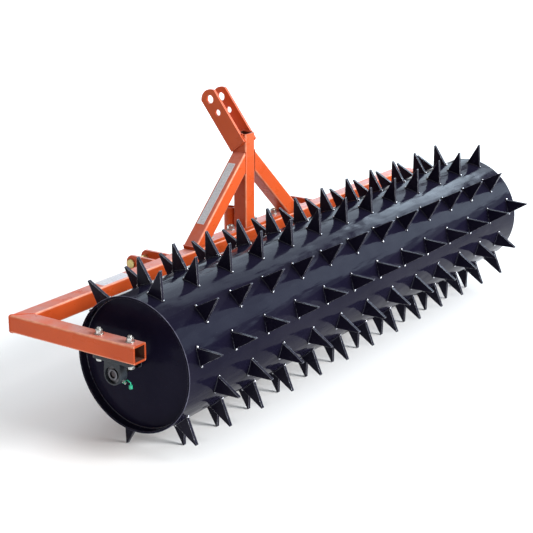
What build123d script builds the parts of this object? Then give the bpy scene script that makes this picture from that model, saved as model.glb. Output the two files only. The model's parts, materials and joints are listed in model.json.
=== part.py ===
from build123d import *
import math
import os

# A tractor-mounted drum aerator: a U-shaped frame of square tube with a hitch mast carries a
# wide drum studded with pointed blades, which rolls behind the tractor on two bearings.
#
# Every piece is drawn about the axle. X runs along the axle from the drum's middle, Y points
# forward to the tractor and Z points up. The last step moves the machine so that its origin
# is on the ground, under the middle of its outline. Left is the side with negative X.

INCH = 25.4
SIDES = {"left": -1, "right": 1}

# Drum and axle
DRUM_RADIUS = 7.5 * INCH
DRUM_LENGTH = 76 * INCH
SHELL_WALL = 0.25 * INCH
RIM_CHAMFER = 1.2
END_DISC_RECESS = 1 * INCH
END_DISC_THICKNESS = 0.375 * INCH
AXLE_RADIUS = 10.0

# Blades: rows of 13 take turns with rows of 12 that are shifted by half a pitch. The rows
# were set out by hand, so they are near 30 degrees apart. Angles run from +Y towards +Z.
BLADE_HEIGHT = 3 * INCH
BLADE_BASE = 2 * INCH
BLADE_TIP_WIDTH = 3.0
BLADE_THICKNESS = 0.375 * INCH
BLADE_PITCH = 6 * INCH
LONG_ROW_BLADES = 13
ROW_ANGLES = (45, 73, 103, 135, 165, 196, 230, 255, 285, 315, 345, 15)
ROW_WITHOUT_LEFT_END_BLADE = 11
TIP_RADIUS = DRUM_RADIUS + BLADE_HEIGHT

# Frame tubes
TUBE = 2 * INCH
TUBE_WALL = 0.25 * INCH
TUBE_CORNER = 6.0
TUBE_INNER_CORNER = 2.0
ARM_X = 1033.9
ARM_REAR_Y = -83.4
CROSSBAR_Y = 326.5
FRAME_Z = 73.0
FRAME_TOP = FRAME_Z + TUBE / 2
FRAME_BOTTOM = FRAME_Z - TUBE / 2
CROSSBAR_FRONT = CROSSBAR_Y + TUBE / 2

# Hitch mast
PLATE = 0.375 * INCH
BASE_PLATE_HALF_WIDTH = 294.3
BASE_PLATE_DEPTH = 46.0
BASE_PLATE_TOP = FRAME_TOP + PLATE
POST_TOP = 418.1
BRACE_TOP_Z = 361.0
MAST_BOLT_X = (-177.8, -63.5, 63.5, 177.8)
MAST_BOLT_Y = 335.0

# Top-link plates: flat bars that lean forward from the post, with two holes near the end
LINK_BAR_WIDTH = 2.5 * INCH
LINK_BAR_LEAN = 37.6
LINK_BAR_FOOT = (326.5, 377.4)
LINK_BAR_LENGTH = 211.2
LINK_BAR_CROWN_RADIUS = 1.5 * INCH
LINK_HOLES = ((179.4, 13.5), (128.6, 10.3))

# Lower hitch lugs and their pins
LUG_PAIR_X = 16 * INCH
LUG_GAP = 60.6
LUG_LENGTH = 102.8
LUG_NOSE_RISE = 16.7
LOWER_PIN_Y = 435.3
LOWER_PIN_RADIUS = 11.1
LOWER_PIN_HEAD_RADIUS = 14.3
LOWER_PIN_HEAD = 5.0
LOWER_PIN_TAIL = 18.0
CLIP_WIRE_RADIUS = 1.5

# Parking stand in front of the crossbar
STAND_X = -19.05
STAND_SLEEVE_RADIUS = 0.75 * INCH
STAND_SLEEVE_BORE = 16.2
STAND_SLEEVE_TOP = 170.0
STAND_SLEEVE_LENGTH = 7.5 * INCH
STAND_LEG_RADIUS = 15.9
STAND_LEG_TOP = 150.0
STAND_FOOT_SIZE = 3 * INCH
STAND_FOOT_THICKNESS = 0.25 * INCH
STAND_SCREW_Z = 8.0
STAND_SCREW_RADIUS = 6.0

# Bolts, nuts and washers
MAST_BOLT = {"shank": 7.0, "hole": 7.5, "flats": 21.0, "head": 9.0, "nut": 12.0, "washer": 14.0, "stub": 3.5}
BEARING_BOLT = {"shank": 6.0, "hole": 6.5, "flats": 18.0, "head": 7.5, "nut": 10.5, "washer": 12.0, "stub": 6.0}
HEX_CORNER_CUT = 1.2
WASHER_THICKNESS = 2.5

# Bearing units, hung under the arms
BEARING_BOLT_Y = (-52.5, 52.5)
HOUSING_LENGTH = 134.0
HOUSING_WIDTH = 38.0
HOUSING_FOOT = 12.0
HOUSING_BODY_WIDTH = 30.0
HOUSING_RADIUS = 28.5
OUTER_RING_RADIUS = 23.5
OUTER_RING_BORE = 19.6
OUTER_RING_HALF_WIDTH = 8.0
INNER_RING_RADIUS = 15.0
INNER_RING_OUTBOARD = 12.0
INNER_RING_INBOARD = 19.0
AXLE_END_RECESS = 4.0
BALL_COUNT = 8
BALL_RADIUS = 3.97
BALL_CIRCLE = 17.2
GROOVE_RADIUS = 4.07
CAGE_INNER = 16.2
CAGE_OUTER = 18.4
CAGE_HALF_WIDTH = 5.6
SHIELD_THICKNESS = 1.0
GREASE_ANGLE = 212.0
GREASE_OFFSET = 0.0

# Blank labels
LABEL_THICKNESS = 0.4
BRACE_LABEL_LENGTH = 236.0
BRACE_LABEL_WIDTH = 27.0
BRACE_LABEL_START = 48.0
BRACE_LABEL_Y = 330.5
BAR_LABEL_X = (-720.0, -596.0)
BAR_LABEL_DEPTH = 38.0

# The drum stands on two rows of blades, 15 degrees either side of straight down.
STANCE = math.radians(15)
AXLE_HEIGHT = TIP_RADIUS * math.cos(STANCE) + BLADE_TIP_WIDTH / 2 * math.sin(STANCE)

parts = {}


# ---- Shared shapes ----

def tube_section():
    """The hollow section of the frame's square tube."""
    bore = TUBE - 2 * TUBE_WALL
    outside = RectangleRounded(TUBE, TUBE, TUBE_CORNER)
    return outside - RectangleRounded(bore, bore, TUBE_INNER_CORNER)


def tube_run(start, direction, length):
    """Square tube from a point, along a direction square to the Y axis or along it."""
    sideways = (1, 0, 0) if direction[1] else (0, 1, 0)
    plane = Plane(origin=start, x_dir=sideways, z_dir=direction)
    return extrude(plane * tube_section(), length)


def round_bar(centre, direction, length, radius):
    """A round bar that starts at a point and runs along a direction."""
    plane = Plane(origin=centre, z_dir=direction)
    return extrude(plane * Circle(radius), length)


def ring(x_start, x_end, outer, inner):
    """A plain ring about the axle between two X positions."""
    plane = Plane(origin=(x_start, 0, 0), x_dir=(0, 1, 0), z_dir=(1, 0, 0))
    return extrude(plane * (Circle(outer) - Circle(inner)), x_end - x_start)


def hexagon_prism(x, y, z, height, flats, bore=0.0):
    """An upright hexagonal prism on height z: corners turned off at both ends, maybe a hole."""
    section = RegularPolygon(flats / 2, 6, major_radius=False)
    if bore:
        section -= Circle(bore)
    spare = 0.5
    turned = extrude(Circle(flats / math.sqrt(3) + spare), height)
    turned = chamfer(turned.edges().filter_by(GeomType.CIRCLE), HEX_CORNER_CUT + spare)
    return Pos(x, y, z) * (extrude(section, height) & turned)


def block(x_range, y_range, z_range):
    """A rectangular block between limits on each axis."""
    size = [high - low for low, high in (x_range, y_range, z_range)]
    middle = [(high + low) / 2 for low, high in (x_range, y_range, z_range)]
    return Pos(*middle) * Box(*size)


# ---- Drum ----

def drum_shell():
    half = DRUM_LENGTH / 2
    shell = ring(-half, half, DRUM_RADIUS, DRUM_RADIUS - SHELL_WALL)
    rims = [e for e in shell.edges().filter_by(GeomType.CIRCLE) if e.radius > DRUM_RADIUS - 1]
    return chamfer(rims, RIM_CHAMFER)


def drum_end(side):
    """The disc that closes one end, set back inside the shell."""
    outside = DRUM_LENGTH / 2 - END_DISC_RECESS
    faces = sorted((side * outside, side * (outside - END_DISC_THICKNESS)))
    return ring(faces[0], faces[1], DRUM_RADIUS - SHELL_WALL, AXLE_RADIUS)


def axle_shaft():
    half = ARM_X + INNER_RING_OUTBOARD - AXLE_END_RECESS
    shaft = round_bar((-half, 0, 0), (1, 0, 0), 2 * half, AXLE_RADIUS)
    return chamfer(shaft.edges().filter_by(GeomType.CIRCLE), 1.5)


def blade():
    """One blade at the drum's middle, pointing along +Y, with a base that fits the drum."""
    half_base = BLADE_BASE / 2
    base_y = math.sqrt(DRUM_RADIUS ** 2 - half_base ** 2)
    half_tip = BLADE_TIP_WIDTH / 2
    seat = ThreePointArc((base_y, -half_base), (DRUM_RADIUS, 0), (base_y, half_base))
    flanks = Polyline(
        (base_y, half_base), (TIP_RADIUS, half_tip), (TIP_RADIUS, -half_tip), (base_y, -half_base)
    )
    plane = Plane(origin=(-BLADE_THICKNESS / 2, 0, 0), x_dir=(0, 1, 0), z_dir=(1, 0, 0))
    return extrude(plane * make_face(seat + flanks), BLADE_THICKNESS)


def blade_row(angle, count, left_out=0):
    """A straight row of blades, less any left out at the left; each is a plate of its own."""
    first = -(count - 1) / 2 * BLADE_PITCH
    plate = Rot(angle, 0, 0) * blade()
    return Compound([Pos(first + i * BLADE_PITCH, 0, 0) * plate for i in range(left_out, count)])


# ---- Frame ----

def mitre_wedge(side, behind):
    """The corner waste of a 45 degree joint, either behind its line or in front of it."""
    outer_x = side * (ARM_X + TUBE / 2)
    inner_x = side * (ARM_X - TUBE / 2)
    back = CROSSBAR_Y - TUBE / 2
    spare = 10.0
    outer_end = (outer_x + side * spare, CROSSBAR_FRONT + spare)
    inner_end = (inner_x - side * spare, back - spare)
    corner = (outer_end[0], inner_end[1]) if behind else (inner_end[0], outer_end[1])
    outline = make_face(Polyline(outer_end, inner_end, corner, close=True))
    return extrude(Plane(origin=(0, 0, FRAME_BOTTOM - spare)) * outline, TUBE + 2 * spare)


def crossbar():
    half = ARM_X + TUBE / 2
    bar = tube_run((-half, CROSSBAR_Y, FRAME_Z), (1, 0, 0), 2 * half)
    for side in SIDES.values():
        bar -= mitre_wedge(side, behind=True)
    for x in MAST_BOLT_X:
        bar -= round_bar((x, MAST_BOLT_Y, 0), (0, 0, 1), 200, MAST_BOLT["hole"])
    return bar


def side_arm(side):
    length = CROSSBAR_FRONT - ARM_REAR_Y
    arm = tube_run((side * ARM_X, ARM_REAR_Y, FRAME_Z), (0, 1, 0), length)
    arm -= mitre_wedge(side, behind=False)
    for y in BEARING_BOLT_Y:
        arm -= round_bar((side * ARM_X, y, 0), (0, 0, 1), 200, BEARING_BOLT["hole"])
    return arm


# ---- Hitch mast ----

def mast_base_plate():
    half = BASE_PLATE_HALF_WIDTH
    y_range = (CROSSBAR_Y - BASE_PLATE_DEPTH / 2, CROSSBAR_Y + BASE_PLATE_DEPTH / 2)
    plate = block((-half, half), y_range, (FRAME_TOP, BASE_PLATE_TOP))
    for x in MAST_BOLT_X:
        plate -= round_bar((x, MAST_BOLT_Y, 0), (0, 0, 1), 200, MAST_BOLT["hole"])
    return plate


def mast_post():
    return tube_run((0, CROSSBAR_Y, BASE_PLATE_TOP), (0, 0, 1), POST_TOP - BASE_PLATE_TOP)


def brace_slope():
    """How far a brace drops for each millimetre outward, as an angle in radians."""
    return math.atan2(BRACE_TOP_Z - BASE_PLATE_TOP, BASE_PLATE_HALF_WIDTH - TUBE / 2)


def mast_brace(side):
    """A slanted tube from the post's side to the end of the base plate."""
    slope = brace_slope()
    run_out = 100.0
    start_x = TUBE / 2 - run_out * math.cos(slope) - TUBE / 2 * math.sin(slope)
    start_z = BRACE_TOP_Z + run_out * math.sin(slope) - TUBE / 2 * math.cos(slope)
    direction = (side * math.cos(slope), 0, -math.sin(slope))
    tube = tube_run((side * start_x, CROSSBAR_Y, start_z), direction, 700)
    x_range = sorted((side * TUBE / 2, side * 400))
    return tube & block(x_range, (250, 400), (BASE_PLATE_TOP, 500))


def link_bar_plane(x):
    """The plane of a top-link plate: its own Y axis runs up the bar from the square foot."""
    lean = math.radians(LINK_BAR_LEAN)
    across = (0, math.cos(lean), -math.sin(lean))
    return Plane(origin=(x, *LINK_BAR_FOOT), x_dir=across, z_dir=(1, 0, 0))


def top_link_plate(side):
    half = LINK_BAR_WIDTH / 2
    crown_rise = LINK_BAR_CROWN_RADIUS - math.sqrt(LINK_BAR_CROWN_RADIUS ** 2 - half ** 2)
    shoulder = LINK_BAR_LENGTH - crown_rise
    sides = Polyline((half, shoulder), (half, 0), (-half, 0), (-half, shoulder))
    crown = ThreePointArc((-half, shoulder), (0, LINK_BAR_LENGTH), (half, shoulder))
    outline = make_face(sides + crown)
    for height, radius in LINK_HOLES:
        outline -= Pos(0, height) * Circle(radius)
    start = min(side * TUBE / 2, side * (TUBE / 2 + PLATE))
    return extrude(link_bar_plane(start) * outline, PLATE)


# ---- Lower hitch ----

def lug_faces(side, outer):
    """The two X positions that one lug lies between."""
    offset = LUG_GAP / 2 if outer else -LUG_GAP / 2 - PLATE
    near = side * (LUG_PAIR_X + offset)
    far = side * (LUG_PAIR_X + offset + PLATE)
    return min(near, far), max(near, far)


def lower_lug(side, outer):
    """An upright plate that runs forward from the crossbar, with a rounded nose."""
    start, end = lug_faces(side, outer)
    half = TUBE / 2
    nose = CROSSBAR_FRONT + LUG_LENGTH
    shoulder = nose - LUG_NOSE_RISE
    back = Polyline((shoulder, half), (CROSSBAR_FRONT, half), (CROSSBAR_FRONT, -half), (shoulder, -half))
    front = ThreePointArc((shoulder, -half), (nose, 0), (shoulder, half))
    outline = make_face(back + front) - Pos(LOWER_PIN_Y, 0) * Circle(LOWER_PIN_RADIUS)
    plane = Plane(origin=(start, 0, FRAME_Z), x_dir=(0, 1, 0), z_dir=(1, 0, 0))
    return extrude(plane * outline, end - start)


def lower_pin_tail(side):
    """The X position where a lower pin leaves its inner lug."""
    return side * (LUG_PAIR_X - LUG_GAP / 2 - PLATE)


def lower_pin(side):
    """A headed pin through both lugs, with a cross hole for its clip."""
    outer_face = side * (LUG_PAIR_X + LUG_GAP / 2 + PLATE)
    inward = (-side, 0, 0)
    length = LUG_GAP + 2 * PLATE + LOWER_PIN_TAIL
    pin = round_bar((outer_face, LOWER_PIN_Y, FRAME_Z), inward, length, LOWER_PIN_RADIUS)
    head_face = (outer_face + side * LOWER_PIN_HEAD, LOWER_PIN_Y, FRAME_Z)
    pin += round_bar(head_face, inward, LOWER_PIN_HEAD, LOWER_PIN_HEAD_RADIUS)
    clip_x = lower_pin_tail(side) - side * LOWER_PIN_TAIL / 2
    hole = round_bar((clip_x, LOWER_PIN_Y, FRAME_Z - 30), (0, 0, 1), 60, CLIP_WIRE_RADIUS)
    rims = pin.edges().filter_by(GeomType.CIRCLE).sort_by(Axis.X)
    ends = (rims[0], rims[-1])
    return chamfer(ends, 1.2) - hole


def hairpin_clip(side):
    """A wire clip that hangs down: one straight leg through the pin, the other hugs its side."""
    clip_x = lower_pin_tail(side) - side * LOWER_PIN_TAIL / 2
    plane = Plane(origin=(clip_x, LOWER_PIN_Y, FRAME_Z), x_dir=(0, 1, 0), z_dir=(1, 0, 0))
    hug = LOWER_PIN_RADIUS + CLIP_WIRE_RADIUS + 0.2
    route = [(0, 18), (0, -32), (hug, -32), (hug, 2), (hug + 5, 13)]
    path = plane * FilletPolyline(*route, radius=[6.3, 6.3, 8.0])
    section = Plane(origin=path @ 0, z_dir=path % 0) * Circle(CLIP_WIRE_RADIUS)
    return sweep(section, path)


# ---- Parking stand ----

def stand_y():
    return CROSSBAR_FRONT + STAND_SLEEVE_RADIUS


def stand_sleeve():
    bottom = STAND_SLEEVE_TOP - STAND_SLEEVE_LENGTH
    section = Circle(STAND_SLEEVE_RADIUS) - Circle(STAND_SLEEVE_BORE)
    plane = Plane(origin=(STAND_X, stand_y(), bottom))
    sleeve = extrude(plane * section, STAND_SLEEVE_LENGTH)
    screw_start = (STAND_X, stand_y(), STAND_SCREW_Z)
    return sleeve - round_bar(screw_start, (0, 1, 0), 40, STAND_SCREW_RADIUS)


def stand_leg():
    bottom = -AXLE_HEIGHT + STAND_FOOT_THICKNESS
    length = STAND_LEG_TOP - bottom
    leg = round_bar((STAND_X, stand_y(), bottom), (0, 0, 1), length, STAND_LEG_RADIUS)
    return chamfer(leg.edges().group_by(Axis.Z)[-1], 1.5)


def stand_foot():
    half = STAND_FOOT_SIZE / 2
    x_range = (STAND_X - half, STAND_X + half)
    y_range = (stand_y() - half, stand_y() + half)
    foot = block(x_range, y_range, (-AXLE_HEIGHT, -AXLE_HEIGHT + STAND_FOOT_THICKNESS))
    return fillet(foot.edges().filter_by(Axis.Z), 8.0)


def stand_weld_nut():
    """A nut welded flat to the sleeve's front, which the set bolt screws through."""
    section = RegularPolygon(9.5, 6, major_radius=False) - Circle(STAND_SCREW_RADIUS)
    face_y = stand_y() + math.sqrt(STAND_SLEEVE_RADIUS ** 2 - 9.5 ** 2)
    plane = Plane(origin=(STAND_X, face_y, STAND_SCREW_Z), x_dir=(1, 0, 0), z_dir=(0, 1, 0))
    nut = extrude(plane * section, 12)
    return nut - round_bar((STAND_X, stand_y(), STAND_SCREW_Z - 20), (0, 0, 1), 40, STAND_SLEEVE_RADIUS)


def stand_set_bolt():
    tip_y = stand_y() + STAND_LEG_RADIUS + 0.1
    shank = round_bar((STAND_X, tip_y, STAND_SCREW_Z), (0, 1, 0), 26, STAND_SCREW_RADIUS)
    head = Pos(STAND_X, tip_y + 31, STAND_SCREW_Z) * Box(13, 10, 13)
    return shank + chamfer(head.edges().filter_by(Axis.Y), 1.0)


# ---- Fasteners ----

def mast_stacks():
    """Each clamped joint under the mast: the bolt's X and Y, its lowest clamped face and its highest."""
    return [(x, MAST_BOLT_Y, FRAME_BOTTOM, BASE_PLATE_TOP) for x in MAST_BOLT_X]


def bearing_stacks():
    """The same four values for each bolt that holds a bearing under an arm."""
    foot = FRAME_BOTTOM - HOUSING_FOOT
    return [(side * ARM_X, y, foot, FRAME_TOP) for side in SIDES.values() for y in BEARING_BOLT_Y]


def clamp_bolt(size, x, y, low, high):
    """A hexagon bolt with its head below and its thread standing out of the nut above."""
    seat = low - WASHER_THICKNESS
    top = high + WASHER_THICKNESS + size["nut"] + size["stub"]
    shank = round_bar((x, y, seat), (0, 0, 1), top - seat, size["shank"])
    shank = chamfer(shank.edges().group_by(Axis.Z)[-1], 1.2)
    return shank + hexagon_prism(x, y, seat - size["head"], size["head"], size["flats"])


def clamp_nut(size, x, y, high):
    return hexagon_prism(x, y, high + WASHER_THICKNESS, size["nut"], size["flats"], size["shank"])


def clamp_washer(size, x, y, z):
    section = Circle(size["washer"]) - Circle(size["hole"])
    return extrude(Plane(origin=(x, y, z)) * section, WASHER_THICKNESS)


# ---- Bearing units ----

def bearing_housing(side):
    """A cast pillow block: a foot bolted under the arm and a round body below it."""
    half = HOUSING_LENGTH / 2
    x = side * ARM_X
    seat = FRAME_BOTTOM
    shoulder = seat - HOUSING_FOOT
    plane = Plane(origin=(x - HOUSING_BODY_WIDTH / 2, 0, 0), x_dir=(0, 1, 0), z_dir=(1, 0, 0))
    web = make_face(Polyline((-26, seat), (26, seat), (28, 4), (-28, 4), close=True))
    body = extrude(plane * (Circle(HOUSING_RADIUS) + web), HOUSING_BODY_WIDTH)
    body = fillet(body.faces().sort_by(Axis.X)[0].edges(), 2.5)
    body = fillet(body.faces().sort_by(Axis.X)[-1].edges(), 2.5)
    x_range = (x - HOUSING_WIDTH / 2, x + HOUSING_WIDTH / 2)
    foot = block(x_range, (-half, half), (shoulder, seat))
    foot = fillet(foot.edges().filter_by(Axis.Z), 12.0)
    foot = fillet(foot.faces().sort_by(Axis.Z)[0].edges(), 2.5)
    housing = foot + body
    for y in BEARING_BOLT_Y:
        housing -= round_bar((x, y, shoulder - 1), (0, 0, 1), 40, BEARING_BOLT["hole"])
    bore_start = (x - HOUSING_WIDTH, 0, 0)
    housing -= round_bar(bore_start, (1, 0, 0), 2 * HOUSING_WIDTH, OUTER_RING_RADIUS)
    return housing - grease_fitting(side)


def ball_groove(side):
    return Pos(side * ARM_X, 0, 0) * Rot(0, 90, 0) * Torus(BALL_CIRCLE, GROOVE_RADIUS)


def bearing_outer_ring(side):
    x = side * ARM_X
    half = OUTER_RING_HALF_WIDTH
    return ring(x - half, x + half, OUTER_RING_RADIUS, OUTER_RING_BORE) - ball_groove(side)


def bearing_inner_ring(side):
    """The long inner ring, locked to the axle by two grub screws at its inboard end."""
    outboard = side * (ARM_X + INNER_RING_OUTBOARD)
    inboard = side * (ARM_X - INNER_RING_INBOARD)
    ends = sorted((outboard, inboard))
    collar = ring(ends[0], ends[1], INNER_RING_RADIUS, AXLE_RADIUS) - ball_groove(side)
    for screw in grub_screws(side):
        collar -= screw
    return collar


def grub_screws(side):
    """Two set screws, 120 degrees apart, from the ring's outside down to the axle."""
    x = side * (ARM_X - INNER_RING_INBOARD + 6)
    screws = []
    for angle in (30, 150):
        out = (0, math.cos(math.radians(angle)), math.sin(math.radians(angle)))
        foot = (x, AXLE_RADIUS * out[1], AXLE_RADIUS * out[2])
        screws.append(round_bar(foot, out, INNER_RING_RADIUS - AXLE_RADIUS, 3.0))
    return screws


def bearing_balls(side):
    balls = []
    for i in range(BALL_COUNT):
        place = Rot(i * 360 / BALL_COUNT, 0, 0) * Pos(0, BALL_CIRCLE, 0)
        balls.append(Pos(side * ARM_X, 0, 0) * place * Sphere(BALL_RADIUS))
    return Compound(balls)


def bearing_cage(side):
    """The ring that keeps the balls apart, with one round pocket for each."""
    x = side * ARM_X
    cage = ring(x - CAGE_HALF_WIDTH, x + CAGE_HALF_WIDTH, CAGE_OUTER, CAGE_INNER)
    for i in range(BALL_COUNT):
        angle = math.radians(i * 360 / BALL_COUNT)
        outward = (0, math.cos(angle), math.sin(angle))
        cage -= round_bar((x, 0, 0), outward, OUTER_RING_RADIUS, BALL_RADIUS + 0.2)
    return cage


def bearing_shields():
    """Thin rings that close each bearing on both faces."""
    shields = []
    for side in SIDES.values():
        for face in (-1, 1):
            middle = side * ARM_X + face * (OUTER_RING_HALF_WIDTH - SHIELD_THICKNESS)
            ends = (middle - SHIELD_THICKNESS / 2, middle + SHIELD_THICKNESS / 2)
            shields.append(ring(ends[0], ends[1], OUTER_RING_BORE, INNER_RING_RADIUS + 0.5))
    return Compound(shields)


def grease_direction():
    angle = math.radians(GREASE_ANGLE)
    return (0, math.cos(angle), math.sin(angle))


def grease_fitting(side):
    """A small nipple on the lower rear of the housing: hexagon, neck and round head."""
    out = grease_direction()
    x = side * (ARM_X + GREASE_OFFSET)
    start = HOUSING_RADIUS - 1.5
    plane = Plane(origin=(x, start * out[1], start * out[2]), x_dir=(1, 0, 0), z_dir=out)
    hexagon = extrude(plane * RegularPolygon(4.0, 6, major_radius=False), 6)
    neck = extrude(plane * Circle(2.4), 12)
    head = extrude(plane.offset(9.5) * Circle(3.2), 4)
    return hexagon + neck + fillet(head.edges(), 1.2)


def grease_cap(side):
    """A push-on cap that hangs beside the nipple on a thin moulded strap."""
    x = side * (ARM_X + GREASE_OFFSET)
    out = grease_direction()
    collar_start = HOUSING_RADIUS + 4.5
    plane = Plane(origin=(x, collar_start * out[1], collar_start * out[2]), x_dir=(1, 0, 0), z_dir=out)
    collar = extrude(plane * (Circle(4.6) - Circle(2.4)), 1.4)
    rear = Plane(origin=(x - 1.5, 0, 0), x_dir=(0, 1, 0), z_dir=(1, 0, 0))
    strap_line = FilletPolyline((-30.6, -14.2), (-38, -9.5), (-50, -15), (-50, -25), radius=3.5)
    strap = extrude(rear * trace(strap_line, 1.2), 3)
    cap = Pos(x, -50, -27) * Cylinder(5.2, 10.5)
    cap = fillet(cap.edges().group_by(Axis.Z)[0], 3.0)
    return collar + strap + cap


# ---- Labels ----

def brace_label():
    """A blank strip on the sloping outer face of the left brace."""
    slope = brace_slope()
    down = (-math.cos(slope), 0, -math.sin(slope))
    outward = (-math.sin(slope), 0, math.cos(slope))
    middle = BRACE_LABEL_START + BRACE_LABEL_LENGTH / 2
    origin = (-TUBE / 2 + middle * down[0], BRACE_LABEL_Y, BRACE_TOP_Z + middle * down[2])
    plane = Plane(origin=origin, x_dir=down, z_dir=outward)
    return extrude(plane * Rectangle(BRACE_LABEL_LENGTH, BRACE_LABEL_WIDTH), LABEL_THICKNESS)


def crossbar_label():
    """A blank strip on top of the crossbar, left of the hitch."""
    y_range = (CROSSBAR_Y - BAR_LABEL_DEPTH / 2, CROSSBAR_Y + BAR_LABEL_DEPTH / 2)
    return block(BAR_LABEL_X, y_range, (FRAME_TOP, FRAME_TOP + LABEL_THICKNESS))


# ---- Assembly ----

def add_drum():
    parts["drum_shell"] = drum_shell()
    parts["axle_shaft"] = axle_shaft()
    for name, side in SIDES.items():
        parts["drum_end_" + name] = drum_end(side)
    for number, angle in enumerate(ROW_ANGLES, start=1):
        count = LONG_ROW_BLADES if number % 2 else LONG_ROW_BLADES - 1
        left_out = 1 if number == ROW_WITHOUT_LEFT_END_BLADE else 0
        parts[f"blade_row_{number:02d}"] = blade_row(angle, count, left_out)


def add_frame():
    parts["crossbar"] = crossbar()
    parts["mast_base_plate"] = mast_base_plate()
    parts["mast_post"] = mast_post()
    for name, side in SIDES.items():
        parts["side_arm_" + name] = side_arm(side)
        parts["mast_brace_" + name] = mast_brace(side)
        parts["top_link_plate_" + name] = top_link_plate(side)
        parts["lower_lug_outer_" + name] = lower_lug(side, outer=True)
        parts["lower_lug_inner_" + name] = lower_lug(side, outer=False)
        parts["lower_pin_" + name] = lower_pin(side)
    parts["hairpin_clips"] = Compound([hairpin_clip(side) for side in SIDES.values()])
    parts["brace_label"] = brace_label()
    parts["crossbar_label"] = crossbar_label()


def add_stand():
    parts["stand_sleeve"] = stand_sleeve()
    parts["stand_leg"] = stand_leg()
    parts["stand_foot"] = stand_foot()
    parts["stand_weld_nut"] = stand_weld_nut()
    parts["stand_set_bolt"] = stand_set_bolt()


def add_fasteners():
    add_clamps("mast", MAST_BOLT, mast_stacks())
    add_clamps("bearing", BEARING_BOLT, bearing_stacks())


def add_clamps(name, size, stacks):
    """One node each for the bolts, the nuts and the washers of one size."""
    parts[name + "_bolts"] = Compound([clamp_bolt(size, *stack) for stack in stacks])
    parts[name + "_nuts"] = Compound([clamp_nut(size, x, y, high) for x, y, low, high in stacks])
    washers = [clamp_washer(size, x, y, high) for x, y, low, high in stacks]
    washers += [clamp_washer(size, x, y, low - WASHER_THICKNESS) for x, y, low, high in stacks]
    parts[name + "_washers"] = Compound(washers)


def add_bearings():
    for name, side in SIDES.items():
        parts["bearing_housing_" + name] = bearing_housing(side)
        parts["bearing_outer_ring_" + name] = bearing_outer_ring(side)
        parts["bearing_inner_ring_" + name] = bearing_inner_ring(side)
        parts["bearing_balls_" + name] = bearing_balls(side)
        parts["bearing_cage_" + name] = bearing_cage(side)
    parts["bearing_shields"] = bearing_shields()
    parts["grub_screws"] = Compound([s for side in SIDES.values() for s in grub_screws(side)])
    parts["grease_fittings"] = Compound([grease_fitting(side) for side in SIDES.values()])
    parts["grease_caps"] = Compound([grease_cap(side) for side in SIDES.values()])


def front_reach():
    """How far ahead of the axle the rounded ends of the top-link plates come."""
    crown_centre = LINK_BAR_LENGTH - LINK_BAR_CROWN_RADIUS
    lean = math.radians(LINK_BAR_LEAN)
    return LINK_BAR_FOOT[0] + crown_centre * math.sin(lean) + LINK_BAR_CROWN_RADIUS


def main():
    add_frame()
    add_drum()
    add_stand()
    add_fasteners()
    add_bearings()
    rear_reach = AXLE_HEIGHT
    to_ground = Location((0, (rear_reach - front_reach()) / 2, AXLE_HEIGHT))
    print("axle at y %.3f, z %.3f" % (to_ground.position.Y, AXLE_HEIGHT))
    os.makedirs("parts", exist_ok=True)
    for name, shape in parts.items():
        export_step(shape.moved(to_ground), f"parts/{name}.step")
    print(len(parts), "nodes")


main()
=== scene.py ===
import json
import math
import random
import bpy
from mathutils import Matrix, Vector


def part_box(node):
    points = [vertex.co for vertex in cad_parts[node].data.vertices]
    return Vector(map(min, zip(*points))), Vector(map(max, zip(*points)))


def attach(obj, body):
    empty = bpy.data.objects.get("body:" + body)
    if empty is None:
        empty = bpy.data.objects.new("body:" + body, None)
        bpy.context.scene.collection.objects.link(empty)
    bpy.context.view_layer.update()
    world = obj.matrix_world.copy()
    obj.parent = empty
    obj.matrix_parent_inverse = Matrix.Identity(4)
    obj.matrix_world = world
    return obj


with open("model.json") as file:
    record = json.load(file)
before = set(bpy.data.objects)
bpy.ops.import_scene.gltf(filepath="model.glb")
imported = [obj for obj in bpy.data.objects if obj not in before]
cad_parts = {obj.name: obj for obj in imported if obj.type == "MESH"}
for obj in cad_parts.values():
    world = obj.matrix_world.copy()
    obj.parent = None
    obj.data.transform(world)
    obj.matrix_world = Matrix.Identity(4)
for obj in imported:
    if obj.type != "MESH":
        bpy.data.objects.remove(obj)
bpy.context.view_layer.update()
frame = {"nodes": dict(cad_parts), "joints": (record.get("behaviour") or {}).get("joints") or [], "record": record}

# The drum aerator as it is photographed: paint, plating, weld beads and studio light, added
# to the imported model. X runs along the axle, Y forward to the tractor, Z up, in metres.

NODES = frame["nodes"]
JOINTS = {joint["name"]: joint for joint in frame["joints"]}
SLOTS = {part["node"]: part["material_slot"] for part in frame["record"]["subparts"]}
AXLE = Vector(JOINTS["drum_spin"]["pos_m"])
SIDES = {"left": -1, "right": 1}


def limits(node, axis):
    """The lowest and highest value of a CAD node along one axis (0 = X, 1 = Y, 2 = Z)."""
    low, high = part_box(node)
    return low[axis], high[axis]


# Sizes read from the frame
ARM_OUTER = limits("crossbar", 0)[1]
BAR_BACK, BAR_FRONT = limits("crossbar", 1)
BAR_BOTTOM, BAR_TOP = limits("crossbar", 2)
TUBE = BAR_TOP - BAR_BOTTOM
BAR_MIDDLE_Y = (BAR_BACK + BAR_FRONT) / 2
BAR_MIDDLE_Z = (BAR_BOTTOM + BAR_TOP) / 2
PLATE_TOP = limits("mast_base_plate", 2)[1]
POST_TOP = limits("mast_post", 2)[1]
DRUM_RADIUS = (limits("drum_shell", 2)[1] - limits("drum_shell", 2)[0]) / 2
DISC_FACE = limits("drum_end_right", 0)[1]
DISC_RADIUS = (limits("drum_end_right", 2)[1] - limits("drum_end_right", 2)[0]) / 2
AXLE_RADIUS = (limits("axle_shaft", 2)[1] - limits("axle_shaft", 2)[0]) / 2

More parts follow.
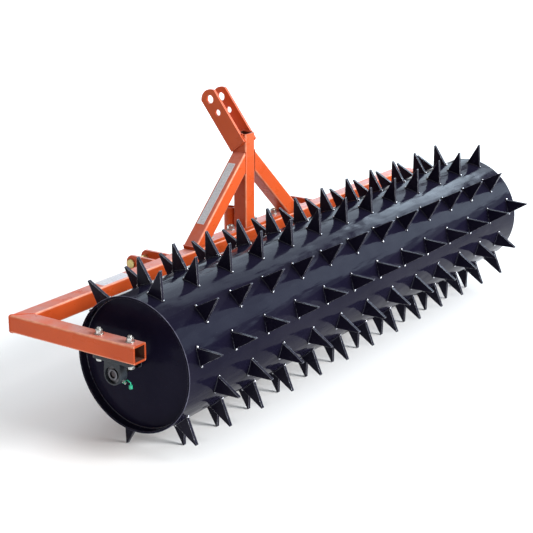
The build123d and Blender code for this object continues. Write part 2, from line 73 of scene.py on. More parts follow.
# Sizes that the frame doesn't state. HALF_PITCH is half the spacing of the blades in a row.
TUBE_CORNER = 0.006
BORE_HALF = 0.01905
BLADE_ROWS = 12
BLADE_THICKNESS = 0.009525
BLADE_HALF_BASE = 0.0254
HALF_PITCH = 0.0762
LINK_PLATE_HALF = 0.03175
LINK_LEAN = math.radians(37.6)
THREAD_PITCH = 0.0017765

# The camera: a long lens, placed from the middle of the axle
SENSOR_WIDTH_MM = 36.0
LENS_MM = 96.1
CAMERA_FROM_AXLE = Vector((-3.6486, -2.2878, 1.3736))
CAMERA_DIRECTION = Vector((0.78458, 0.54318, -0.29899))

# Light from the room: its strength near the horizon, its strength overhead, and its colour
WORLD_SIDES = 0.10
WORLD_OVERHEAD = 0.93
WORLD_WARM = (1.0, 0.985, 0.965)

# One wide sun behind the machine: where it is, its strength and how many degrees it spans
SUN_DIRECTION = Vector((0.25, -0.87, 0.43))
SUN_STRENGTH = 4.7
SUN_SPAN = 30.0

# Soft panels beyond the machine's right end, which the drum reflects as bands along its length:
# each has its place, its width and height in metres, and its power in watts
PANEL_BLUE = (0.72, 0.87, 1.0)
PANEL_TARGET = (0.0, 0.0, 0.3)
PANELS = {
    "side": ((7.0, -0.3, 4.5), (2.4, 1.0), 85),
    "far": ((7.0, 2.3, 5.7), (6.5, 4.0), 340),
    "low": ((7.0, 4.4, 2.3), (3.4, 2.0), 50),
    "glow": ((6.0, -3.8, 3.3), (4.0, 3.6), 240),
    "dim": ((6.5, -4.6, 2.2), (4.0, 3.4), 60),
}


def brace_slope():
    """The angle at which a brace runs down and outward, measured from level."""
    top = limits("mast_brace_right", 2)[1]
    return math.atan2(top - PLATE_TOP, limits("mast_brace_right", 0)[1] - TUBE / 2)


def brace_axis():
    """The direction square to a brace's slope, and the place of the brace's middle along it."""
    slope = brace_slope()
    top = Vector((TUBE / 2, 0, limits("mast_brace_right", 2)[1]))
    outward = Vector((math.sin(slope), 0, math.cos(slope)))
    return tuple(outward), outward.dot(top) - TUBE / 2


# ---- Camera, floor and light ----

def aim(thing, place, target):
    """Puts a camera or light at a place, pointing at a target."""
    thing.location = place
    direction = Vector(target) - Vector(place)
    thing.rotation_euler = direction.to_track_quat("-Z", "Y").to_euler()
    bpy.context.scene.collection.objects.link(thing)


def add_camera():
    """Low over the left rear corner, looking across the drum to the hitch."""
    data = bpy.data.cameras.new("camera")
    data.sensor_width = SENSOR_WIDTH_MM
    data.lens = LENS_MM
    camera = bpy.data.objects.new("camera", data)
    place = AXLE + CAMERA_FROM_AXLE
    aim(camera, place, place + CAMERA_DIRECTION)
    bpy.context.scene.camera = camera


def add_panel(name, place, size, power):
    """One bluish rectangle of soft light, pointed at the machine."""
    data = bpy.data.lights.new(name, "AREA")
    data.shape = "RECTANGLE"
    data.size, data.size_y = size
    data.energy = power
    data.color = PANEL_BLUE
    aim(bpy.data.objects.new(name, data), place, PANEL_TARGET)


def add_sun():
    """Wide, even light from behind the machine, far enough away to come from one direction."""
    data = bpy.data.lights.new("rear", "SUN")
    data.energy = SUN_STRENGTH
    data.angle = math.radians(SUN_SPAN)
    aim(bpy.data.objects.new("rear", data), SUN_DIRECTION * 10.0, (0, 0, 0))


def add_world():
    """A soft studio: bright overhead and dim at the sides."""
    world = bpy.data.worlds.new("studio")
    world.use_nodes = True
    tree = world.node_tree
    background = tree.nodes["Background"]
    background.inputs["Color"].default_value = (*WORLD_WARM, 1.0)
    direction = tree.nodes.new("ShaderNodeTexCoord").outputs["Generated"]
    height = tree.nodes.new("ShaderNodeSeparateXYZ")
    spread = tree.nodes.new("ShaderNodeMapRange")
    spread.interpolation_type = "SMOOTHSTEP"
    spread.inputs["From Min"].default_value = 0.1
    spread.inputs["To Min"].default_value = WORLD_SIDES
    spread.inputs["To Max"].default_value = WORLD_OVERHEAD
    tree.links.new(direction, height.inputs["Vector"])
    tree.links.new(height.outputs["Z"], spread.inputs["Value"])
    tree.links.new(spread.outputs["Result"], background.inputs["Strength"])
    bpy.context.scene.world = world


def add_floor():
    """A wide plain floor, matt and nearly white."""
    mesh = bpy.data.meshes.new("floor")
    half = 30.0
    corners = [(-half, -half, 0), (half, -half, 0), (half, half, 0), (-half, half, 0)]
    mesh.from_pydata(corners, [], [(0, 1, 2, 3)])
    floor = bpy.data.objects.new("floor", mesh)
    bpy.context.scene.collection.objects.link(floor)
    material = bpy.data.materials.new("floor")
    material.use_nodes = True
    shader = material.node_tree.nodes["Principled BSDF"]
    shader.inputs["Base Color"].default_value = (0.92, 0.92, 0.92, 1.0)
    shader.inputs["Roughness"].default_value = 1.0
    shader.inputs["Specular IOR Level"].default_value = 0.0
    mesh.materials.append(material)


# ---- Material building blocks ----

class Finish:
    """One procedural material: noise, masks and bumps feed a single principled shader."""

    # A mix node keeps sockets for numbers, vectors and colours: these are the colours' places.
    MIX_A, MIX_B, MIX_COLOUR = 6, 7, 2

    def __init__(self, name, metallic=0.0, specular=0.5):
        self.material = bpy.data.materials.new(name)
        self.material.use_nodes = True
        self.tree = self.material.node_tree
        self.shader = self.tree.nodes["Principled BSDF"]
        self.shader.inputs["Metallic"].default_value = metallic
        self.shader.inputs["Specular IOR Level"].default_value = specular
        self.place = self.tree.nodes.new("ShaderNodeTexCoord").outputs["Object"]
        self.normal = None

    def node(self, kind, **settings):
        made = self.tree.nodes.new(kind)
        for key, value in settings.items():
            setattr(made, key, value)
        return made

    def feed(self, socket, value):
        """Links an output to a socket, or sets the socket where the value is plain."""
        if isinstance(value, bpy.types.NodeSocket):
            self.tree.links.new(value, socket)
        elif isinstance(value, tuple) and len(value) == 3 and socket.type == "RGBA":
            socket.default_value = (*value, 1.0)
        else:
            socket.default_value = value

    def stretched(self, factors):
        """The object's own coordinates, stretched along each axis."""
        scale = self.node("ShaderNodeVectorMath", operation="MULTIPLY")
        self.feed(scale.inputs[0], self.place)
        scale.inputs[1].default_value = factors
        return scale.outputs["Vector"]

    def noise(self, scale, detail=3.0, roughness=0.5, place=None):
        """Cloudy values from 0 to 1, finer as the scale rises."""
        texture = self.node("ShaderNodeTexNoise")
        self.feed(texture.inputs["Vector"], place or self.place)
        texture.inputs["Scale"].default_value = scale
        texture.inputs["Detail"].default_value = detail
        texture.inputs["Roughness"].default_value = roughness
        return texture.outputs["Fac"]

    def spread(self, value, low, high, to_low=0.0, to_high=1.0):
        """Maps a value from one range to another, and keeps it inside that range."""
        mapping = self.node("ShaderNodeMapRange")
        self.feed(mapping.inputs["Value"], value)
        mapping.inputs["From Min"].default_value = low
        mapping.inputs["From Max"].default_value = high
        mapping.inputs["To Min"].default_value = to_low
        mapping.inputs["To Max"].default_value = to_high
        return mapping.outputs["Result"]

    def maths(self, operation, first, second):
        step = self.node("ShaderNodeMath", operation=operation)
        self.feed(step.inputs[0], first)
        self.feed(step.inputs[1], second)
        return step.outputs["Value"]

    def mix(self, amount, first, second):
        """A colour between two colours."""
        blend = self.node("ShaderNodeMix", data_type="RGBA")
        self.feed(blend.inputs["Factor"], amount)
        self.feed(blend.inputs[self.MIX_A], first)
        self.feed(blend.inputs[self.MIX_B], second)
        return blend.outputs[self.MIX_COLOUR]

    def part_along(self, vector, direction, mirrored):
        """The part of a vector that lies along a direction; mirrored drops its minus signs."""
        if mirrored:
            flip = self.node("ShaderNodeVectorMath", operation="ABSOLUTE")
            self.feed(flip.inputs[0], vector)
            vector = flip.outputs["Vector"]
        dot = self.node("ShaderNodeVectorMath", operation="DOT_PRODUCT")
        self.feed(dot.inputs[0], vector)
        dot.inputs[1].default_value = direction
        return dot.outputs["Value"]

    def facing(self, direction, mirrored=False):
        """How far the surface faces a direction of the object's own frame, from -1 to 1."""
        surface = self.node("ShaderNodeTexCoord").outputs["Normal"]
        return self.part_along(surface, direction, mirrored)

    def along(self, direction, mirrored=False):
        """The object's own coordinates measured along a direction, in metres."""
        return self.part_along(self.place, direction, mirrored)

    def gaps(self, section):
        """How far a point is from the middle of a tube's section, along its two directions."""
        return [
            self.maths("ABSOLUTE", self.maths("SUBTRACT", self.along(direction, True), middle), 0.0)
            for direction, middle in section
        ]

    def edge(self, radius, low=0.02, high=0.25):
        """A mask of the edges: where a rounded normal leaves the true one."""
        rounded = self.node("ShaderNodeBevel", samples=6)
        rounded.inputs["Radius"].default_value = radius
        true = self.node("ShaderNodeNewGeometry").outputs["Normal"]
        dot = self.node("ShaderNodeVectorMath", operation="DOT_PRODUCT")
        self.feed(dot.inputs[0], rounded.outputs["Normal"])
        self.feed(dot.inputs[1], true)
        return self.spread(dot.outputs["Value"], 1.0 - low, 1.0 - high)

    def soften(self, radius):
        """Rounds sharp edges in the shading."""
        rounded = self.node("ShaderNodeBevel", samples=6)
        rounded.inputs["Radius"].default_value = radius
        self.normal = rounded.outputs["Normal"]

    def bump(self, height, strength, distance):
        """Adds small bumps to whatever shading normal there is so far."""
        bump = self.node("ShaderNodeBump")
        bump.inputs["Strength"].default_value = strength
        bump.inputs["Distance"].default_value = distance
        self.feed(bump.inputs["Height"], height)
        if self.normal:
            self.feed(bump.inputs["Normal"], self.normal)
        self.normal = bump.outputs["Normal"]

    def done(self, colour, roughness):
        """Joins the colour, roughness and normal to the shader, and gives the material."""
        self.feed(self.shader.inputs["Base Color"], colour)
        self.feed(self.shader.inputs["Roughness"], roughness)
        if self.normal:
            self.feed(self.shader.inputs["Normal"], self.normal)
        return self.material


# ---- Paints ----

def mark_tube(f, colour, section):
    """A square tube's marks: painted shade on the deep red cut ends, pale rounded corners that are partly rubbed
    paint and partly a painted highlight, and painted shade in the dark bore.

    A section is the tube's two directions, each with the place of the tube's middle."""
    sides = [f.facing(direction, True) for direction, _ in section]
    # Painted shade: the cut ends are a deep red.
    cut_end_shade = f.spread(f.maths("MAXIMUM", *sides), 0.3, 0.1)
    colour = f.mix(cut_end_shade, colour, (0.32, 0.050, 0.016))
    gaps = f.gaps(section)
    # Pale rounded corners: partly rubbed paint, partly a painted highlight along them.
    corner = f.spread(f.maths("MINIMUM", *gaps), TUBE / 2 - TUBE_CORNER, TUBE / 2 - 0.002)
    rub_and_highlight_patches = f.spread(f.noise(35.0, 4.0, 0.6), 0.35, 0.65, 0.35, 0.75)
    colour = f.mix(f.maths("MULTIPLY", corner, rub_and_highlight_patches), colour, (0.88, 0.45, 0.30))
    # Painted shade in the bore: a dark colour inside the hollow tube.
    bore_shade = f.spread(f.maths("MAXIMUM", *gaps), BORE_HALF, BORE_HALF + 0.0003, 0.9, 0.0)
    return f.mix(bore_shade, colour, (0.045, 0.026, 0.02))


def orange_paint(name="orange_paint", lumpy=False, section=None):
    """Gloss orange powder coat: orange peel, uneven depth, pale edges that are partly thin paint and partly a
    painted highlight, and greyish tops that are partly dust and partly a painted sheen.
    """
    f = Finish(name, specular=0.18)
    cloud = f.spread(f.noise(5.0, 4.0), 0.35, 0.65)
    colour = f.mix(cloud, (0.52, 0.072, 0.016), (0.61, 0.092, 0.021))
    speck = f.spread(f.noise(240.0, 2.0), 0.66, 0.72, 0.0, 0.35)
    colour = f.mix(speck, colour, (0.36, 0.045, 0.012))
    # Greyish upward faces: partly dust, partly a painted sheen on the tops.
    dust_and_sheen = f.spread(f.facing((0, 0, 1)), 0.5, 1.0)
    dust_and_sheen = f.maths("MULTIPLY", dust_and_sheen, f.spread(f.noise(14.0, 6.0, 0.65), 0.38, 0.7, 0.20, 0.7))
    colour = f.mix(dust_and_sheen, colour, (0.44, 0.33, 0.33))
    # Paler orange along the edges: partly thin worn paint, partly a painted highlight.
    edge_wear_and_highlight = f.edge(0.0016)
    edge_wear_and_highlight = f.maths("MULTIPLY", edge_wear_and_highlight, f.spread(f.noise(60.0, 4.0, 0.6), 0.40, 0.62, 0.25, 1.0))
    colour = f.mix(f.maths("MULTIPLY", edge_wear_and_highlight, 0.75), colour, (0.86, 0.40, 0.24))
    if section:
        colour = mark_tube(f, colour, section)
    smear = f.noise(9.0, 5.0, 0.6, f.stretched((1.0, 1.0, 2.5)))
    f.soften(0.0010)
    f.bump(f.noise(420.0, 2.0), 0.25, 0.00025)
    if lumpy:
        f.bump(f.noise(170.0, 3.0, 0.6), 0.6, 0.0012)
    return f.done(colour, f.spread(smear, 0.35, 0.7, 0.24, 0.40))


def paint_rim_highlight(f, colour):
    """A pale painted highlight, broken up at random, on the slanted rims at the drum's two ends."""
    slant = f.facing((1, 0, 0), True)
    rim = f.maths("MULTIPLY", f.spread(slant, 0.35, 0.55), f.spread(slant, 0.95, 0.85))
    broken_up = f.spread(f.noise(30.0, 4.0, 0.6), 0.35, 0.65, 0.35, 1.0)
    return f.mix(f.maths("MULTIPLY", rim, broken_up), colour, (0.16, 0.16, 0.22))


def black_paint(name, waviness, roughness, colours, specular=0.1, rim_highlight=False, sharp=False):
    """Gloss black enamel that bends its reflections, with uneven patches and fine dust.

    Pale edges are partly wear and partly a painted highlight, and on sharp edges they are bright bare steel. The
    drum's slanted rims may carry a painted pale highlight."""
    f = Finish(name, specular=specular)
    f.shader.inputs["Specular Tint"].default_value = (0.80, 0.84, 1.0, 1.0)
    patch = f.spread(f.noise(4.0, 5.0, 0.6), 0.35, 0.7)
    colour = f.mix(patch, *colours)
    speck = f.spread(f.noise(330.0, 2.0), 0.70, 0.76, 0.0, 0.5)
    colour = f.mix(speck, colour, (0.06, 0.06, 0.085))
    # Pale grey edges: partly wear, partly a painted highlight; on sharp blade edges metallic bare steel.
    edge_wear_and_highlight = f.edge(0.0026 if sharp else 0.0012)
    edge_wear_and_highlight = f.maths("MULTIPLY", edge_wear_and_highlight, f.spread(f.noise(75.0, 4.0, 0.6), 0.38, 0.62, 0.15, 1.0))
    edge_wear_and_highlight = f.maths("MULTIPLY", edge_wear_and_highlight, 0.8)
    edge_tone = (0.55, 0.56, 0.60) if sharp else (0.22, 0.22, 0.27)
    colour = f.mix(edge_wear_and_highlight, colour, edge_tone)
    if sharp:
        f.feed(f.shader.inputs["Metallic"], edge_wear_and_highlight)
    # A pale painted highlight on the drum's slanted rims.
    if rim_highlight:
        colour = paint_rim_highlight(f, colour)
    scuff = f.noise(22.0, 6.0, 0.65, f.stretched((0.5, 1.0, 1.0)))
    f.soften(0.0009)
    if waviness:
        f.bump(f.noise(7.0, 3.0, 0.5, f.stretched((0.35, 1.0, 1.0))), waviness, 0.02)
        f.bump(f.noise(30.0, 3.0, 0.6, f.stretched((0.10, 1.0, 1.0))), waviness, 0.0022)
    f.bump(f.noise(380.0, 2.0), 0.15, 0.0002)
    return f.done(colour, f.spread(scuff, 0.4, 0.75, roughness, roughness + 0.14))


# ---- Metals ----

def cut_threads(f):
    """Fine rings round the bolts' upper ends, above the frame's tube.

    A wave texture of scale 1 has 20 bands in every tau metres."""
    wave = f.node("ShaderNodeTexWave", wave_type="BANDS", bands_direction="Z")
    f.feed(wave.inputs["Vector"], f.place)
    bands_at_scale_one = 20.0 / math.tau
    wave.inputs["Scale"].default_value = 1.0 / (bands_at_scale_one * THREAD_PITCH)
    above = f.spread(f.along((0, 0, 1)), BAR_TOP, BAR_TOP + 0.001)
    f.bump(f.maths("MULTIPLY", wave.outputs["Fac"], above), 0.8, 0.0006)


def zinc(name, tint, threads=False):
    """Bright plating: faint crystals and handling marks, with threads on the bolts."""
    f = Finish(name, metallic=1.0)
    grain = f.spread(f.noise(260.0, 4.0, 0.6), 0.35, 0.65)
    dark = tuple(0.62 * channel for channel in tint)
    colour = f.mix(grain, dark, tint)
    blotch = f.spread(f.noise(55.0, 3.0), 0.5, 0.75, 0.0, 0.6)
    colour = f.mix(blotch, colour, tuple(0.45 * channel for channel in tint))
    f.soften(0.0007)
    if threads:
        cut_threads(f)
    f.bump(f.noise(500.0, 2.0), 0.2, 0.0002)
    return f.done(colour, f.spread(f.noise(90.0, 4.0), 0.3, 0.7, 0.22, 0.48))


def machined_steel(name, tint, roughness):
    """Turned steel: rings round the axle's line, an oily film and a few dull spots."""
    f = Finish(name, metallic=1.0)
    turned = f.noise(60.0, 3.0, 0.6, f.stretched((22.0, 1.0, 1.0)))
    colour = f.mix(f.spread(turned, 0.3, 0.7), tuple(0.7 * channel for channel in tint), tint)
    film = f.spread(f.noise(45.0, 5.0, 0.6), 0.45, 0.75, 0.0, 0.7)
    colour = f.mix(film, colour, (0.035, 0.03, 0.03))
    f.soften(0.0008)
    f.bump(turned, 0.12, 0.0003)
    return f.done(colour, f.spread(turned, 0.3, 0.7, roughness, roughness + 0.16))


def casting():
    """Dark painted cast iron: a sand-cast skin under thin paint, with patches of grime."""
    f = Finish("dark_casting", specular=0.35)
    skin = f.noise(260.0, 5.0, 0.65)
    colour = f.mix(f.spread(skin, 0.3, 0.7), (0.010, 0.014, 0.020), (0.030, 0.038, 0.048))
    grime = f.spread(f.noise(30.0, 4.0), 0.5, 0.75, 0.0, 0.6)
    colour = f.mix(grime, colour, (0.045, 0.038, 0.03))
    # Paler edges: partly worn paint, partly a painted highlight.
    edge_wear_and_highlight = f.maths("MULTIPLY", f.edge(0.0015), f.spread(f.noise(90.0), 0.4, 0.6, 0.2, 0.8))
    colour = f.mix(edge_wear_and_highlight, colour, (0.12, 0.13, 0.15))
    f.soften(0.0012)
    f.bump(skin, 0.45, 0.0007)
    return f.done(colour, f.spread(skin, 0.3, 0.7, 0.38, 0.6))


# ---- Plastics and labels ----

def green_plastic():
    """The grease caps' soft plastic, faintly cloudy and moulded with a fine grain."""
    f = Finish("green_plastic", specular=0.5)
    cloud = f.spread(f.noise(120.0, 3.0), 0.35, 0.65)
    colour = f.mix(cloud, (0.012, 0.30, 0.16), (0.025, 0.42, 0.25))
    f.soften(0.0004)
    f.bump(f.noise(900.0, 2.0), 0.2, 0.0001)
    f.shader.inputs["Subsurface Weight"].default_value = 0.1
    f.shader.inputs["Subsurface Radius"].default_value = (0.002, 0.004, 0.002)
    return f.done(colour, f.spread(f.noise(300.0, 2.0), 0.3, 0.7, 0.28, 0.42))


def label_film():
    """A blank silver-grey vinyl strip: mottled film, faint creases and a paler border."""
    f = Finish("label", specular=0.5)
    mottle = f.spread(f.noise(170.0, 5.0, 0.7), 0.3, 0.7)
    colour = f.mix(mottle, (0.40, 0.40, 0.43), (0.66, 0.66, 0.70))
    rim = f.edge(0.0035, 0.005, 0.1)
    colour = f.mix(f.maths("MULTIPLY", rim, 0.8), colour, (0.75, 0.75, 0.80))
    f.bump(f.noise(60.0, 3.0), 0.15, 0.0004)
    return f.done(colour, f.spread(f.noise(40.0, 4.0), 0.3, 0.7, 0.25, 0.45))


# ---- The list of finishes ----

def make_finishes():
    """Every finish by name. A pair of colours is the darker and the paler of a patchy paint."""
    drum_colours = ((0.0048, 0.0042, 0.0120), (0.0095, 0.0085, 0.0180))
    disc_colours = ((0.0075, 0.0064, 0.0175), (0.0125, 0.0110, 0.0240))
    blade_colours = ((0.0060, 0.0050, 0.0130), (0.0110, 0.0092, 0.0195))
    return {
        "orange_paint": orange_paint(),
        "arm_paint": orange_paint("arm_paint", section=(
            ((1, 0, 0), ARM_OUTER - TUBE / 2), ((0, 0, 1), BAR_MIDDLE_Z))),
        "bar_paint": orange_paint("bar_paint", section=(
            ((0, 1, 0), BAR_MIDDLE_Y), ((0, 0, 1), BAR_MIDDLE_Z))),
        "post_paint": orange_paint("post_paint", section=(
            ((1, 0, 0), 0.0), ((0, 1, 0), BAR_MIDDLE_Y))),
        "brace_paint": orange_paint("brace_paint", section=(
            ((0, 1, 0), BAR_MIDDLE_Y), brace_axis())),
        "orange_weld": orange_paint("orange_weld", lumpy=True),
        "black_paint": black_paint("black_paint", 0.2, 0.10, disc_colours, specular=0.035),
        "shell_paint": black_paint(
            "shell_paint", 0.5, 0.08, drum_colours, specular=0.035, rim_highlight=True),
        "blade_paint": black_paint("blade_paint", 0.0, 0.20, blade_colours, sharp=True),
        "black_weld": black_paint("black_weld", 0.0, 0.10, blade_colours, specular=0.5),
        "bright_weld": machined_steel("bright_weld", (0.62, 0.63, 0.68), 0.12),
        "axle_steel": machined_steel("axle_steel", (0.09, 0.08, 0.085), 0.30),
        "bearing_steel": machined_steel("bearing_steel", (0.15, 0.15, 0.165), 0.22),
        "cage_steel": machined_steel("cage_steel", (0.12, 0.12, 0.13), 0.34),
        "dark_casting": casting(),
        "zinc": zinc("zinc", (0.70, 0.71, 0.69)),
        "threaded_zinc": zinc("threaded_zinc", (0.70, 0.71, 0.69), threads=True),
        "yellow_zinc": zinc("yellow_zinc", (0.60, 0.47, 0.20)),
        "green_plastic": green_plastic(),
        "label": label_film(),
    }


def paint_nodes(finishes):
    """Gives every CAD node the finish of its slot; a few have a variant of their own.

    The last variant that a node's name starts with is the one that counts."""
    variants = {
        "blade_row": "blade_paint", "mast_bolts": "threaded_zinc", "bearing_bolts": "threaded_zinc",
        "side_arm": "arm_paint", "mast_post": "post_paint", "crossbar": "bar_paint",
        "crossbar_label": "label", "mast_brace": "brace_paint", "drum_shell": "shell_paint",
    }
    for name, node in NODES.items():
        finish = SLOTS[name]
        for start, variant in variants.items():
            if name.startswith(start):
                finish = variant
        node.data.materials.clear()
        node.data.materials.append(finishes[finish])


# ---- Weld beads ----

class Bead:
    """Gathers rippled weld beads in one mesh that rides on a body."""

    RING = 8

    def __init__(self, name, body, slot, material, seed):
        self.name, self.body, self.slot, self.material = name, body, slot, material
        self.random = random.Random(seed)
        self.points = []
        self.faces = []

    def run(self, path, radius, step=0.0016, closed=False):
        """A bead along a path of points: its radius ripples once for each drop of metal."""
        route = resample(path, step, closed)
        ripple = self.random.uniform(0.0, math.tau)
        start = len(self.points)
        count = len(route)
        for i, point in enumerate(route):
            ahead = route[(i + 1) % count] if closed else route[min(i + 1, count - 1)]
            behind = route[i - 1] if closed or i else route[0]
            along = (ahead - behind).normalized()
            across = along.orthogonal().normalized()
            other = along.cross(across)
            size = radius * (1.0 + 0.16 * math.sin(ripple + i * math.tau / 3.0))
            size *= self.random.uniform(0.88, 1.12)
            if not closed:
                size *= min(1.0, 0.45 + 0.25 * min(i, count - 1 - i))
            for j in range(self.RING):
                turn = j * math.tau / self.RING
                self.points.append(point + size * (math.cos(turn) * across + math.sin(turn) * other))
        self.join(start, count, closed)

    def join(self, start, count, closed):
        """Skins the rings of points, from the first one at start, and caps an open run."""
        ring = self.RING
        for i in range(count if closed else count - 1):
            here, there = start + i * ring, start + (i + 1) % count * ring
            shift = self.twist(here, there)
            for j in range(ring):
                k = (j + 1) % ring
                face = (here + j, here + k, there + (k + shift) % ring, there + (j + shift) % ring)
                self.faces.append(face)
        if not closed:
            self.faces.append(tuple(range(start + ring - 1, start - 1, -1)))
            self.faces.append(tuple(start + (count - 1) * ring + j for j in range(ring)))

    def twist(self, here, there):
        """How many places one ring is turned against the next, so that the skin isn't wrung."""
        gaps = []
        for shift in range(self.RING):
            gap = sum((self.points[here + j] - self.points[there + (j + shift) % self.RING]).length
                      for j in range(self.RING))
            gaps.append(gap)
        return gaps.index(min(gaps))

    def blob(self, centre, size):
        """A lump where a bead ends: a ball of few faces, pushed about at random."""
        start = len(self.points)
        levels = 5
        for i in range(levels):
            lift = math.pi * (i + 0.5) / levels
            for j in range(self.RING):
                turn = math.tau * (j + 0.5 * (i % 2)) / self.RING
                out = Vector((
                    math.sin(lift) * math.cos(turn), math.sin(lift) * math.sin(turn), math.cos(lift)
                ))
                self.points.append(centre + out * size * self.random.uniform(0.85, 1.15))
        self.join(start, levels, closed=False)

    def build(self):
        """Makes the mesh, which takes its finish and rides on the body."""
        mesh = bpy.data.meshes.new(self.name)
        mesh.from_pydata(self.points, [], self.faces)
        mesh.polygons.foreach_set("use_smooth", [True] * len(mesh.polygons))
        mesh.materials.append(self.material)
        mesh.update()
        piece = bpy.data.objects.new(self.name, mesh)
        bpy.context.scene.collection.objects.link(piece)
        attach(piece, self.body)


def resample(path, step, closed):
    """Points at an even spacing along a path of corners."""
    corners = [Vector(point) for point in path]
    if closed:
        corners.append(corners[0])
    points = []
    carry = 0.0
    for a, b in zip(corners, corners[1:]):
        length = (b - a).length
        place = carry
        while place < length:
            points.append(a.lerp(b, place / length))
            place += step
        carry = place - length
    if not closed:
        points.append(corners[-1])
    return points


def about_axle(x, radius, angle):
    """A point at an angle about the axle, from +Y towards +Z."""
    return Vector((x, AXLE.y + radius * math.cos(angle), AXLE.z + radius * math.sin(angle)))


def arc(x, radius, start, end, count):
    """Points along an arc about the axle, from one angle to another."""
    return [about_axle(x, radius, start + (end - start) * i / count) for i in range(count + 1)]


def blade_places(node):
    """Where each blade of a row stands, as its X and its angle, from the corners of its tip."""
    offsets = [(v.co.x, v.co.y - AXLE.y, v.co.z - AXLE.z) for v in node.data.vertices]
    reach = max(math.hypot(y, z) for x, y, z in offsets)
    tips = {}
    for x, y, z in offsets:
        if math.hypot(y, z) > reach - 0.001:
            tips.setdefault(round(x / HALF_PITCH), []).append((y, z))
    places = []
    for place, found in sorted(tips.items()):
        y = sum(point[0] for point in found)
        z = sum(point[1] for point in found)
        places.append((place * HALF_PITCH, math.atan2(z, y)))
    return places


def weld_blades(finishes):
    """Fillets along both faces of every blade's base, with a bright lump of metal at each end."""
    half_angle = math.asin(BLADE_HALF_BASE / DRUM_RADIUS)
    lumps = Bead("blade_weld_ends", "drum", "axle_steel", finishes["bright_weld"], 40)
    for number in range(1, BLADE_ROWS + 1):
        row = f"{number:02d}"
        beads = Bead("blade_welds_" + row, "drum", "black_paint", finishes["black_weld"], number)
        for x, angle in blade_places(NODES["blade_row_" + row]):
            for side in SIDES.values():
                foot = x + side * (BLADE_THICKNESS / 2 + 0.0006)
                line = arc(foot, DRUM_RADIUS + 0.0006, angle - half_angle, angle + half_angle, 6)
                beads.run(line, 0.0016, step=0.0042)
                tip = about_axle(x, DRUM_RADIUS + 0.0016, angle + side * (half_angle + 0.004))
                lumps.blob(tip, lumps.random.uniform(0.0030, 0.0046))
        beads.build()
    lumps.build()


def weld_drum_ends(finishes):
    """Rings of weld where the end discs meet the shell and where the axle passes through."""
    beads = Bead("drum_end_welds", "drum", "black_paint", finishes["black_weld"], 20)
    for side in SIDES.values():
        face = side * (DISC_FACE + 0.001)
        rim = arc(face, DISC_RADIUS - 0.001, 0, math.tau, 180)[:-1]
        beads.run(rim, 0.0028, step=0.0050, closed=True)
        hub = arc(face, AXLE_RADIUS + 0.0008, 0, math.tau, 40)[:-1]
        beads.run(hub, 0.0032, step=0.004, closed=True)
    beads.build()


def box_loop(x_range, y_range, z_range):
    """The four corners of a rectangle that is flat along one axis."""
    (x0, x1), (y0, y1), (z0, z1) = x_range, y_range, z_range
    if x0 == x1:
        return [(x0, y0, z0), (x0, y1, z0), (x0, y1, z1), (x0, y0, z1)]
    if y0 == y1:
        return [(x0, y0, z0), (x1, y0, z0), (x1, y0, z1), (x0, y0, z1)]
    return [(x0, y0, z0), (x1, y0, z0), (x1, y1, z0), (x0, y1, z0)]


def mitre_loop(side):
    """The seam round a mitred corner, following the tube's rounded edges."""
    half = TUBE / 2 + 0.0003
    inner = half - TUBE_CORNER
    loop = []
    for turn in range(32):
        angle = math.tau * (turn + 0.5) / 32
        across = math.copysign(inner, math.cos(angle)) + TUBE_CORNER * math.cos(angle)
        up = math.copysign(inner, math.sin(angle)) + TUBE_CORNER * math.sin(angle)
        x = side * (ARM_OUTER - TUBE / 2 + across)
        loop.append((x, BAR_MIDDLE_Y + across, BAR_MIDDLE_Z + up))
    return loop


def weld_frame(finishes):
    """Seams at the mitres, the mast's members, the hitch lugs and the stand's sleeve."""
    beads = Bead("frame_welds", "frame", "orange_paint", finishes["orange_weld"], 30)
    half = TUBE / 2
    for name, side in SIDES.items():
        beads.run(mitre_loop(side), 0.0016, closed=True)
        weld_brace(beads, name, side)
        weld_link_plate(beads, side)
        for lug in ("outer", "inner"):
            low, high = limits(f"lower_lug_{lug}_{name}", 0)
            upright = (BAR_BOTTOM + 0.003, BAR_TOP - 0.003)
            loop = box_loop((low, high), (BAR_FRONT, BAR_FRONT), upright)
            beads.run(loop, 0.0028, closed=True)
    post = box_loop((-half, half), (BAR_BACK, BAR_FRONT), (PLATE_TOP, PLATE_TOP))
    beads.run(post, 0.0016, closed=True)
    weld_sleeve(beads)
    beads.build()


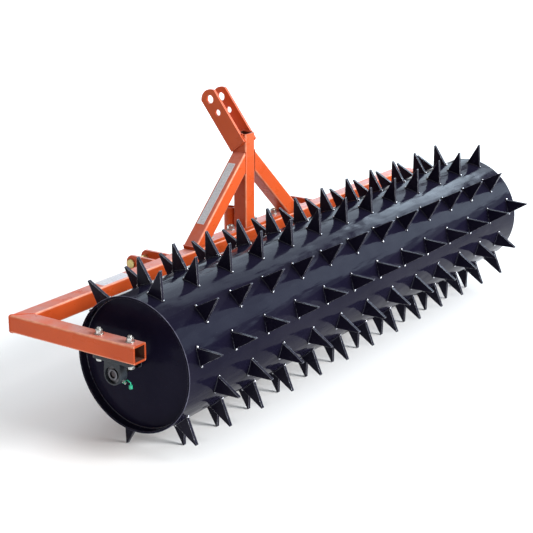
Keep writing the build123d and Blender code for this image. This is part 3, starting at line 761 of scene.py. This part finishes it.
def weld_brace(beads, name, side):
    """Seams round a slanted brace, at the post above and at the base plate below."""
    low, high = limits("mast_brace_" + name, 0)
    outer = max(abs(low), abs(high))
    top = limits("mast_brace_" + name, 2)[1]
    slope = brace_slope()
    face = side * TUBE / 2
    seam = box_loop((face, face), (BAR_BACK, BAR_FRONT), (top - TUBE / math.cos(slope), top))
    beads.run(seam, 0.0014, closed=True)
    foot = sorted((side * outer, side * (outer - TUBE / math.sin(slope))))
    plate_back, plate_front = limits("mast_base_plate", 1)
    loop = box_loop(tuple(foot), (plate_back, plate_front), (PLATE_TOP, PLATE_TOP))
    beads.run(loop, 0.0026, closed=True)


def weld_link_plate(beads, side):
    """Seams where a top-link plate lies on the post's side: under its foot and up its back."""
    lowest = limits("top_link_plate_left", 2)[0]
    x = side * (TUBE / 2 + 0.0012)
    across = Vector((0, math.cos(LINK_LEAN), -math.sin(LINK_LEAN)))
    up = Vector((0, math.sin(LINK_LEAN), math.cos(LINK_LEAN)))
    foot = Vector((x, BAR_MIDDLE_Y, lowest + LINK_PLATE_HALF * math.sin(LINK_LEAN)))
    back, front = foot - across * LINK_PLATE_HALF, foot + across * LINK_PLATE_HALF
    beads.run([front, back, back + up * 0.024], 0.0030)
    beads.run([(x, BAR_BACK + 0.010, POST_TOP), (x, BAR_FRONT - 0.002, POST_TOP)], 0.0030)


def weld_sleeve(beads):
    """Two upright seams that hold the stand's sleeve to the crossbar."""
    low, high = limits("stand_sleeve", 0)
    middle = (low + high) / 2
    y = BAR_FRONT + 0.0012
    for side in SIDES.values():
        x = middle + side * 0.28 * (high - low)
        beads.run([(x, y, BAR_BOTTOM + 0.004), (x, y, BAR_TOP - 0.004)], 0.0030)


# ---- The whole picture ----


def main():
    add_camera()
    add_world()
    add_floor()
    add_sun()
    for name, (place, size, power) in PANELS.items():
        add_panel(name, place, size, power)
    finishes = make_finishes()
    paint_nodes(finishes)
    weld_blades(finishes)
    weld_drum_ends(finishes)
    weld_frame(finishes)
    bpy.context.scene.view_settings.view_transform = "Standard"


main()
